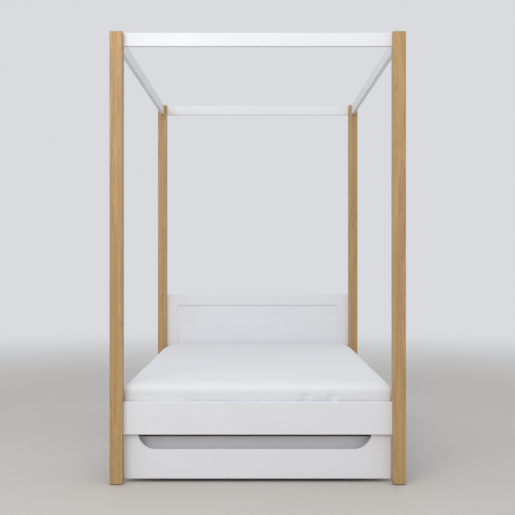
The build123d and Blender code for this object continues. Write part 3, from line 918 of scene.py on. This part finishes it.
@dataclass
class Studio:
    """The camera, the soft lights and the plain floor."""

    camera_back: float = 4.179
    camera_height: float = 1.014
    lens_mm: float = 65.64
    sensor_mm: float = 36.0
    shift_x: float = -0.0004
    shift_y: float = -0.0002
    floor_side: float = 60.0
    floor_fade: tuple[float, float] = (2.2, 8.0)
    floor_colour: Colour = (0.57, 0.545, 0.51)
    sky_colour: Colour = (0.95, 0.965, 1.0)
    sky_strength: float = 0.73

    def build(self) -> None:
        """Makes the camera, the lights, the sky and the floor."""
        self.add_camera()
        self.add_sky()
        KEY_LIGHT.build()
        TOP_LIGHT.build()
        self.add_floor()
        bpy.context.scene.view_settings.view_transform = "Standard"

    def add_camera(self) -> None:
        """Places the camera square on to the foot end, at its distance and height."""
        lens = bpy.data.cameras.new("camera")
        lens.lens = self.lens_mm
        lens.sensor_width = self.sensor_mm
        lens.shift_x = self.shift_x
        lens.shift_y = self.shift_y
        lens.clip_end = 200.0
        camera = bpy.data.objects.new("camera", lens)
        foot_y = cad_bounds[0].y
        camera.location = (0.0, foot_y - self.camera_back, self.camera_height)
        camera.rotation_euler = (math.pi / 2, 0.0, 0.0)
        bpy.context.scene.collection.objects.link(camera)
        bpy.context.scene.camera = camera

    def add_sky(self) -> None:
        """Fills the studio with even pale light."""
        sky = bpy.data.worlds.new("studio")
        sky.use_nodes = True
        background = sky.node_tree.nodes["Background"]
        background.inputs["Color"].default_value = (*self.sky_colour, 1.0)
        background.inputs["Strength"].default_value = self.sky_strength
        bpy.context.scene.world = sky

    def add_floor(self) -> None:
        """Lays the plain pale floor at the glides' feet."""
        bpy.ops.mesh.primitive_plane_add(size=self.floor_side, location=(0.0, 0.0, cad_bounds[0].z))
        floor = bpy.context.object
        floor.name = "studio_floor"
        paint = Paint("studio_floor")
        graph = paint.graph
        cloud = graph.between(graph.noise(paint.place, 1.2, 3.0), 0.3, 0.7)
        darker = tuple(0.97 * part for part in self.floor_colour)
        graph.feed(paint.shader, Base_Color=graph.blend(cloud, self.floor_colour, darker), Roughness=0.6)
        away = graph.add("VectorMath", operation="LENGTH")
        graph.tree.links.new(paint.place, away.inputs[0])
        shown = graph.between(away.outputs["Value"], *self.floor_fade, 1.0, 0.0)
        graph.feed(paint.shader, Alpha=shown)
        dress(floor, paint.material)
        report(floor, "plain floor")


# ---------------------------------------------------------------- the bed


@dataclass
class PosterFrame:
    """The four oak posts on their glides, and the white boards and beams between them."""

    across: tuple[str, ...] = ("top_beam_foot", "top_beam_head", "foot_rail", "headboard_top_rail",
                               "headboard_bottom_rail", "headboard_panel")
    along: tuple[str, ...] = ("top_beam_left", "top_beam_right", "side_rail_left", "side_rail_right")
    upright: tuple[str, ...] = ("headboard_stile_left", "headboard_stile_right")
    fasteners: tuple[str, ...] = ("corner_studs", "corner_washers", "corner_nuts")

    def build(self) -> None:
        """Dresses the posts, the glides, the beams, the rails and the headboard."""
        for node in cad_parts:
            if node.startswith("post_") and node != "post_glides":
                dress_node(node, OAK.material(Grain.UPRIGHT), "oak post")
        dress_node("post_glides", GLIDE.material(), "glides under the posts")
        for grain, nodes in ((Grain.ACROSS, self.across), (Grain.ALONG, self.along),
                             (Grain.UPRIGHT, self.upright)):
            for node in nodes:
                dress_node(node, WHITE.material(grain), "white board")
        for node in self.fasteners:
            dress_node(node, ZINC.material(), "fasteners of the boards and the posts")
        dress_node("corner_dowels", BEECH.material(Grain.ACROSS), "dowels of the boards")


@dataclass
class SlattedBase:
    """The ledgers, the slats and the straps that space them."""

    staple_width: float = 11 * MM
    staple_leg: float = 1.8 * MM
    staple_wire: float = 0.55 * MM
    staple_gap: float = 22 * MM
    staple_bend: float = 0.6 * MM

    def build(self) -> None:
        """Dresses the ledgers and the slats, and staples the straps to them."""
        for side in Side:
            dress_node(f"ledger_{side.value}", PINE.material(Grain.ALONG), "ledger of the slats")
        dress_node("ledger_screws", ZINC.material(), "screws of the ledgers")
        for node in self.slats():
            dress_node(node, PINE.material(Grain.ACROSS), "slat")
        dress_node("slat_straps", TAPE.material(), "straps under the slats")
        self.add_staples()

    def slats(self) -> list[str]:
        """Lists the slats' nodes.

        Returns:
            Their names.
        """
        return [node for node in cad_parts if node.startswith("slat_") and node != "slat_straps"]

    def make_staple(self) -> bpy.types.Object:
        """Models one staple, with its crown down and its legs up.

        Returns:
            The staple, its crown's middle at the origin.
        """
        bpy.ops.object.select_all(action="DESELECT")
        bpy.ops.mesh.primitive_plane_add(size=1.0)
        staple = bpy.context.object
        staple.scale = (self.staple_width, self.staple_leg, 1.0)
        settle(staple)
        with editing(staple, "EDGE"):
            bpy.ops.mesh.select_all(action="SELECT")
            bpy.ops.transform.rotate(value=math.pi / 2, orient_axis="X", center_override=(0.0, 0.0, 0.0))
            bpy.ops.transform.translate(value=(0.0, 0.0, self.staple_leg / 2))
            bpy.ops.mesh.delete(type="ONLY_FACE")
            pick_edges(staple, lambda middle, way: abs(way.x) > 0.9 and middle.z > self.staple_leg / 2)
            bpy.ops.mesh.delete(type="EDGE")
            pick_edges(staple, lambda middle, way: abs(way.x) > 0.9)
            bpy.ops.mesh.bevel(offset=self.staple_bend, segments=3, affect="VERTICES")
        bpy.ops.object.convert(target="CURVE")
        staple.data.bevel_depth = self.staple_wire
        staple.data.bevel_resolution = 2
        staple.data.use_fill_caps = True
        bpy.ops.object.convert(target="MESH")
        return staple

    def add_staples(self) -> None:
        """Fixes both straps to every slat, with two staples at each crossing."""
        model = self.make_staple()
        staples = []
        for low, high in solids_of("slat_straps"):
            for slat in self.slats():
                slat_low, slat_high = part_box(slat)
                middle_y = (slat_low[1] + slat_high[1]) / 2
                for step in (-0.5, 0.5):
                    place = Vector(((low.x + high.x) / 2, middle_y + step * self.staple_gap,
                                    low.z - 0.6 * self.staple_wire))
                    staples.append(copy_at(model, "staple", Matrix.Translation(place)))
        bpy.data.objects.remove(model)
        joined = join_pieces(staples, "strap_staples")
        smooth_edges(joined, 60.0)
        dress(joined, ZINC.material())
        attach(joined, "bed_frame")
        report(joined, "staples of the straps")


@dataclass
class Drawer:
    """The drawer's boards, its pins and screws, and its four castors."""

    across: tuple[str, ...] = ("drawer_front", "drawer_grip_board", "drawer_back", "drawer_bottom")
    fasteners: tuple[str, ...] = ("castor_axles", "castor_screws", "drawer_screws")

    def build(self) -> None:
        """Dresses the drawer's boards and fittings."""
        for node in self.across:
            dress_node(node, WHITE.material(Grain.ACROSS), "drawer board")
        dress_node("drawer_battens", PINE.material(Grain.ACROSS), "battens under the drawer")
        dress_node("drawer_dowels", BEECH.material(Grain.ACROSS), "dowels of the drawer")
        for node in self.fasteners:
            dress_node(node, ZINC.material(), "pins and screws")
        for side in Side:
            dress_node(f"drawer_side_{side.value}", WHITE.material(Grain.ALONG), "drawer side")
            for row in Row:
                place = f"{row.value}_{side.value}"
                dress_node(f"castor_housing_{place}", CASTOR_BODY.material(), "castor housing")
                dress_node(f"castor_wheel_{place}", CASTOR_TREAD.material(), "castor wheel")


# How a crease of the sheet stands: its gain over the given height, and the trough on each side of
# it, whose depth and reach are shares of the crease's own height and width.
CREASE_GAIN = 2.2
TROUGH_DEPTH = 0.45
TROUGH_REACH = 2.2


@dataclass(frozen=True)
class Fold:
    """One soft crease of the sheet, from one point to another, standing up or pressed in."""

    start: Place
    end: Place
    height: float
    width: float

    def push(self, points: np.ndarray) -> np.ndarray:
        """How far the crease lifts each point.

        Args:
            points: The cloth's points.

        Returns:
            The lift of each point, in metres.
        """
        start, end = np.array(self.start), np.array(self.end)
        way = end - start
        along = np.clip((points - start) @ way / (way @ way), 0.0, 1.0)
        away = np.linalg.norm(points - (start + along[:, None] * way), axis=1)
        trough = TROUGH_DEPTH * np.exp(-(away / (TROUGH_REACH * self.width)) ** 2)
        ridge = np.exp(-(away / self.width) ** 2) - trough
        return CREASE_GAIN * self.height * ridge * np.sin(math.pi * np.clip(along, 0.02, 0.98)) ** 0.6


@dataclass
class Bedding:
    """The mattress, the fitted sheet pulled over it and the sheet's elastic."""

    # The even meshes of the mattress and the sheet, and the round block they start from.
    pad_voxel: float = 12 * MM
    sheet_voxel: float = 10 * MM
    inset: float = 0.5 * MM
    corner: float = 17 * MM
    rim: float = 34 * MM
    heel: float = 18 * MM
    # How far the filling swells, all over, at the sides and over the foot rail.
    swell: float = 6 * MM
    side_swell: float = 10 * MM
    front_swell: float = 1.5 * MM
    # The room in the bed: beside the head posts, over the rail's lip, at the foot and the sides.
    side_room: float = 15 * MM
    head_hold: float = 34 * MM
    rail_lip: float = 4 * MM
    lip_rise: float = 26 * MM
    foot_gap: float = 1.0 * MM
    side_gap: float = 0.8 * MM
    slat_press: float = 0.2 * MM
    # The sheet: its slack for creases, its hem's opening and its cloth.
    fold_room: float = 7.0 * MM
    top_slack: float = 2.2 * MM
    side_slack: float = 5.0 * MM
    press_limit: float = 0.3 * MM
    tuck: float = 90 * MM
    hem_rise: float = 6 * MM
    sheet_gap: float = 1.2 * MM
    sheet_thick: float = 0.8 * MM
    sheet_cover: float = 0.9 * MM
    elastic_radius: float = 1.8 * MM
    elastic_sink: float = 0.6 * MM
    frames: int = 20

    def build(self) -> None:
        """Makes the mattress, then the sheet over it, then the elastic in its hem."""
        low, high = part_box("mattress")
        self.low, self.high = Vector(low), Vector(high)
        mattress = self.make_mattress()
        sheet = self.make_sheet(mattress)
        self.make_elastic(sheet)

    def rounded_block(self, name: str, voxel: float) -> bpy.types.Object:
        """Makes the mattress before it is filled: a block with round corners and edges.

        Args:
            name: The new piece's name.
            voxel: The size of its faces.

        Returns:
            The block, evenly meshed.
        """
        size = self.high - self.low - Vector.Fill(3, 2 * self.inset)
        block = add_block(name, (self.low + self.high) / 2, size)
        with editing(block, "EDGE"):
            pick_edges(block, lambda middle, way: abs(way.z) > 0.9)
            bpy.ops.mesh.bevel(offset=self.corner, segments=6, affect="EDGES")
            bpy.ops.mesh.select_all(action="DESELECT")
            top, bottom = self.high.z - self.inset, self.low.z + self.inset
            pick_edges(block, lambda middle, way: abs(middle.z - top) < MM and abs(way.z) < 0.1)
            bpy.ops.mesh.bevel(offset=self.rim, segments=6, affect="EDGES")
            bpy.ops.mesh.select_all(action="DESELECT")
            pick_edges(block, lambda middle, way: abs(middle.z - bottom) < MM and abs(way.z) < 0.1)
            bpy.ops.mesh.bevel(offset=self.heel, segments=4, affect="EDGES")
        remesh = block.modifiers.new("even faces", "REMESH")
        remesh.mode = "VOXEL"
        remesh.voxel_size = voxel
        smooth = block.modifiers.new("soften", "SMOOTH")
        smooth.factor = 0.5
        smooth.iterations = 3
        apply_modifiers(block)
        return block

    def fill(self, pad: bpy.types.Object) -> None:
        """Blows a closed cover up like a filled cushion, by cloth simulation.

        Args:
            pad: The cover, which is changed.
        """
        rest, outward = read_vertices(pad.data, "co"), read_vertices(pad.data, "normal")
        cloth = pad.modifiers.new("filling", "CLOTH")
        cloth.settings.quality = 4
        cloth.settings.mass = 0.4
        cloth.settings.tension_stiffness = 12
        cloth.settings.compression_stiffness = 12
        cloth.settings.bending_stiffness = 2.0
        cloth.settings.use_pressure = True
        cloth.settings.uniform_pressure_force = 2.5
        cloth.settings.shrink_min = -0.008
        cloth.settings.effector_weights.gravity = 0.0
        cloth.point_cache.frame_end = self.frames
        moved = run_cloth(pad, self.frames) - rest
        pad.modifiers.remove(cloth)
        moved -= np.minimum((moved * outward).sum(1), 0.0)[:, None] * outward
        reach = np.linalg.norm(moved, axis=1, keepdims=True)
        held = self.swell * np.tanh(reach / self.swell) / np.maximum(reach, 1e-9)
        log.info("mattress filled: %.1f mm at most", 1000 * (reach * held).max())
        filled = rest + moved * held
        half = (self.high.x - self.low.x) / 2
        at_side = np.clip(filled[:, 0] / half, -1.0, 1.0) ** 9
        filled[:, 0] += self.side_swell * self.beside(filled) * at_side
        set_points(pad, self.in_bed(filled, 0.0, self.fold_room))

    def beside(self, points: np.ndarray) -> np.ndarray:
        """Says which points may bulge sideways, because no post stands beside them.

        Args:
            points: The points of a soft piece.

        Returns:
            0 between the head posts, rising to 1 further down the bed.
        """
        return soft_step((self.high.y - self.head_hold - points[:, 1]) / (4 * self.head_hold))

    def opening(self) -> tuple[float, float, float]:
        """Finds the sheet's opening under the mattress.

        Returns:
            Half its width, and its lowest and highest Y.
        """
        return self.high.x - self.tuck, self.low.y + self.tuck, self.high.y - self.tuck

    def in_bed(self, points: np.ndarray, cover: float, spare: float = 0.0) -> np.ndarray:
        """Keeps points inside the space between the slats, the rails and the headboard.

        Args:
            points: The points of a soft piece.
            cover: How much further out than the mattress's own limits they may go.
            spare: How much room is left at the foot and the sides for creases.

        Returns:
            The points, moved back where they were outside.
        """
        rail_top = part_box("foot_rail")[1][2]
        kept = points.copy()
        kept[:, 2] = np.maximum(kept[:, 2], self.low.z - self.slat_press - cover)
        kept[:, 1] = np.minimum(kept[:, 1], self.high.y + self.foot_gap + cover)
        bulge = self.front_swell * soft_step((kept[:, 2] - rail_top - self.rail_lip) / self.lip_rise)
        kept[:, 1] = np.maximum(kept[:, 1], self.low.y - self.foot_gap - cover - bulge + spare)
        half = (self.high.x - self.low.x) / 2 + self.side_gap + cover
        limit = half + self.side_room * self.beside(kept)
        kept[:, 0] = np.clip(kept[:, 0], spare - limit, limit - spare)
        return kept

    def make_mattress(self) -> bpy.types.Object:
        """Makes the filled mattress in its ticking.

        Returns:
            The mattress.
        """
        mattress = self.rounded_block("mattress_pad", self.pad_voxel)
        self.fill(mattress)
        smooth_edges(mattress, 60.0)
        dress(mattress, TICKING.material())
        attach(mattress, "bed_frame")
        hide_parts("mattress")
        report(mattress, "filled mattress")
        return mattress

    def folds(self) -> list[Fold]:
        """The creases of the sheet: long ones on top, short ones over the front and at the corners.

        Returns:
            The creases.
        """
        top, front = self.high.z, self.low.y
        left, right = self.low.x, self.high.x
        creases = [
            Fold((-0.51, -0.44, top), (-0.20, -0.78, top), 2.2 * MM, 26 * MM),
            Fold((-0.44, -0.62, top), (-0.06, -0.80, top), -1.6 * MM, 22 * MM),
            Fold((-0.46, 0.10, top), (0.02, 0.14, top), 1.6 * MM, 30 * MM),
            Fold((0.10, -0.30, top), (0.52, -0.44, top), 1.3 * MM, 34 * MM),
            Fold((-0.30, 0.52, top), (0.36, 0.46, top), 1.2 * MM, 36 * MM),
            Fold((0.16, 0.80, top), (0.54, 0.72, top), 1.5 * MM, 28 * MM),
            Fold((0.360, front + 0.01, top - 0.014), (0.318, front, top - 0.078), -4.6 * MM, 16 * MM),
            Fold((0.395, front + 0.01, top - 0.012), (0.352, front, top - 0.072), 2.6 * MM, 14 * MM),
            Fold((0.25, front + 0.01, top - 0.016), (0.185, front, top - 0.078), -4.2 * MM, 19 * MM),
            Fold((0.08, front, top - 0.026), (0.06, front, top - 0.080), -2.2 * MM, 20 * MM),
            Fold((-0.02, front, top - 0.022), (-0.05, front, top - 0.080), 1.6 * MM, 18 * MM),
            Fold((-0.25, front, top - 0.022), (-0.29, front, top - 0.080), -2.2 * MM, 22 * MM),
            Fold((-0.515, front + 0.01, top - 0.018), (-0.475, front, top - 0.080), -4.4 * MM, 15 * MM),
            Fold((0.50, front, top - 0.022), (0.465, front, top - 0.080), -3.4 * MM, 17 * MM),
        ]
        for index in range(9):
            place = -0.82 + 0.205 * index + 0.03 * math.sin(5.0 * index)
            lean = 0.03 * math.cos(3.0 * index)
            for side_x in (left, right):
                shift = 0.06 if side_x > 0 else 0.0
                creases.append(Fold((side_x, place + shift, top - 0.02),
                                    (side_x, place + shift + lean, top - 0.10),
                                    (2.0 - 0.4 * (index % 3)) * MM, 18 * MM))
        for side_x in (left, right):
            for end_y, end in ((self.low.y, 1), (self.high.y, -1)):
                inward = -math.copysign(1.0, side_x)
                for run, height in ((0.16, -2.6), (0.24, 2.0), (0.30, -1.6)):
                    bend = 1.7 - 5.0 * (run - 0.16)
                    creases.append(Fold((side_x + inward * 0.03, end_y + end * 0.03, top - 0.004),
                                        (side_x + inward * run, end_y + end * run * bend, top),
                                        height * MM, 17 * MM))
        return creases

    def make_sheet(self, mattress: bpy.types.Object) -> bpy.types.Object:
        """Makes the fitted sheet, tucked under the mattress all round.

        Args:
            mattress: What it is pulled over.

        Returns:
            The sheet.
        """
        sheet = self.rounded_block("fitted_sheet_cloth", self.sheet_voxel)
        self.wrap(sheet, mattress)
        with editing(sheet):
            inner_x, inner_low, inner_high = self.opening()
            level = self.low.z + self.hem_rise
            pick_faces(sheet, lambda centre, normal: centre.z < level and abs(centre.x) < inner_x
                       and inner_low < centre.y < inner_high)
            bpy.ops.mesh.delete(type="FACE")
        self.settle_sheet(sheet)
        self.crease(sheet)
        clear = sheet.modifiers.new("clear of", "SHRINKWRAP")
        clear.target = mattress
        clear.wrap_method = "NEAREST_SURFACEPOINT"
        clear.wrap_mode = "OUTSIDE"
        clear.offset = self.sheet_gap
        solid = sheet.modifiers.new("cloth thickness", "SOLIDIFY")
        solid.thickness = self.sheet_thick
        solid.offset = 1.0
        apply_modifiers(sheet)
        smooth_edges(sheet, 70.0)
        dress(sheet, SHEET.material())
        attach(sheet, "bed_frame")
        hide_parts("fitted_sheet")
        report(sheet, "fitted sheet")
        return sheet

    def wrap(self, sheet: bpy.types.Object, mattress: bpy.types.Object) -> None:
        """Lays the sheet's mesh close over the mattress.

        Args:
            sheet: The sheet's mesh, which is changed.
            mattress: What it lies on.
        """
        grip = sheet.modifiers.new("lie on", "SHRINKWRAP")
        grip.target = mattress
        grip.wrap_method = "NEAREST_SURFACEPOINT"
        grip.wrap_mode = "OUTSIDE_SURFACE"
        grip.offset = self.sheet_gap
        apply_modifiers(sheet)

    def settle_sheet(self, sheet: bpy.types.Object) -> None:
        """Lets the slightly loose sheet buckle over the mattress, by cloth simulation.

        Args:
            sheet: The sheet's mesh, which is changed.
        """
        rest, outward = read_vertices(sheet.data, "co"), read_vertices(sheet.data, "normal")
        hold = sheet.vertex_groups.new(name="hold")
        low_edge = self.low.z + self.heel
        for index, point in enumerate(rest):
            hold.add([index], 1.0 if point[2] < low_edge else 0.12, "REPLACE")
        cloth = sheet.modifiers.new("settling", "CLOTH")
        cloth.settings.quality = 4
        cloth.settings.mass = 0.2
        cloth.settings.tension_stiffness = 15
        cloth.settings.compression_stiffness = 15
        cloth.settings.bending_stiffness = 0.8
        cloth.settings.vertex_group_mass = "hold"
        cloth.settings.pin_stiffness = 1.0
        cloth.settings.shrink_min = -0.006
        cloth.settings.effector_weights.gravity = 0.3
        cloth.point_cache.frame_end = self.frames
        moved = run_cloth(sheet, self.frames) - rest
        sheet.modifiers.remove(cloth)
        sheet.vertex_groups.remove(hold)
        log.info("sheet settled: %.1f mm at most", 1000 * np.linalg.norm(moved, axis=1).max())
        inward = np.minimum((moved * outward).sum(1), 0.0)
        set_points(sheet, rest + moved - 0.9 * inward[:, None] * outward)

    def crease(self, sheet: bpy.types.Object) -> None:
        """Presses the creases into the sheet, and a little unevenness all over.

        Args:
            sheet: The sheet's mesh, which is changed.
        """
        points, outward = read_vertices(sheet.data, "co"), read_vertices(sheet.data, "normal")
        lift = np.zeros(len(points))
        for fold in self.folds():
            lift += fold.push(points)
        for scale, height in ((3.5, 1.3 * MM), (11.0, 0.5 * MM)):
            lift += height * np.array([noise.noise(Vector(point) * scale) for point in points])
        tall = self.high.z - self.low.z
        share = np.clip((points[:, 2] - self.low.z) / tall, 0.0, 1.0)
        slack = self.top_slack + (self.side_slack - self.top_slack) * (1.0 - np.abs(outward[:, 2]))
        lift = np.maximum((lift + slack) * np.minimum(1.0, 4.0 * share), -self.press_limit)
        set_points(sheet, self.in_bed(points + lift[:, None] * outward, self.sheet_cover))

    def make_elastic(self, sheet: bpy.types.Object) -> None:
        """Makes the elastic cord in the hem, under the mattress.

        Args:
            sheet: The sheet, whose opening it follows; not used, as the opening is worked out from the
                mattress's box.
        """
        inner_x, inner_low, inner_high = self.opening()
        height = self.low.z + self.elastic_radius - self.elastic_sink
        bpy.ops.object.select_all(action="DESELECT")
        bpy.ops.mesh.primitive_plane_add(size=1.0, location=(0.0, (inner_low + inner_high) / 2, height))
        hem = bpy.context.object
        hem.name = "sheet_elastic"
        hem.data.name = "sheet_elastic"
        hem.scale = (2 * inner_x, inner_high - inner_low, 1.0)
        settle(hem)
        with editing(hem, "VERT"):
            bpy.ops.mesh.select_all(action="SELECT")
            bpy.ops.mesh.bevel(offset=self.tuck, segments=8, affect="VERTICES")
            bpy.ops.mesh.delete(type="ONLY_FACE")
        bpy.ops.object.convert(target="CURVE")
        hem.data.bevel_depth = self.elastic_radius
        hem.data.bevel_resolution = 2
        bpy.ops.object.convert(target="MESH")
        smooth_edges(hem, 60.0)
        dress(hem, TAPE.material())
        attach(hem, "bed_frame")
        report(hem, "elastic in the sheet's hem")


def main() -> None:
    """Builds the bed and its studio, in order."""
    logging.basicConfig(level=logging.INFO, format="%(message)s")
    bpy.ops.object.select_all(action="DESELECT")
    Studio().build()
    PosterFrame().build()
    SlattedBase().build()
    Drawer().build()
    Bedding().build()


if __name__ == "__main__":
    main()
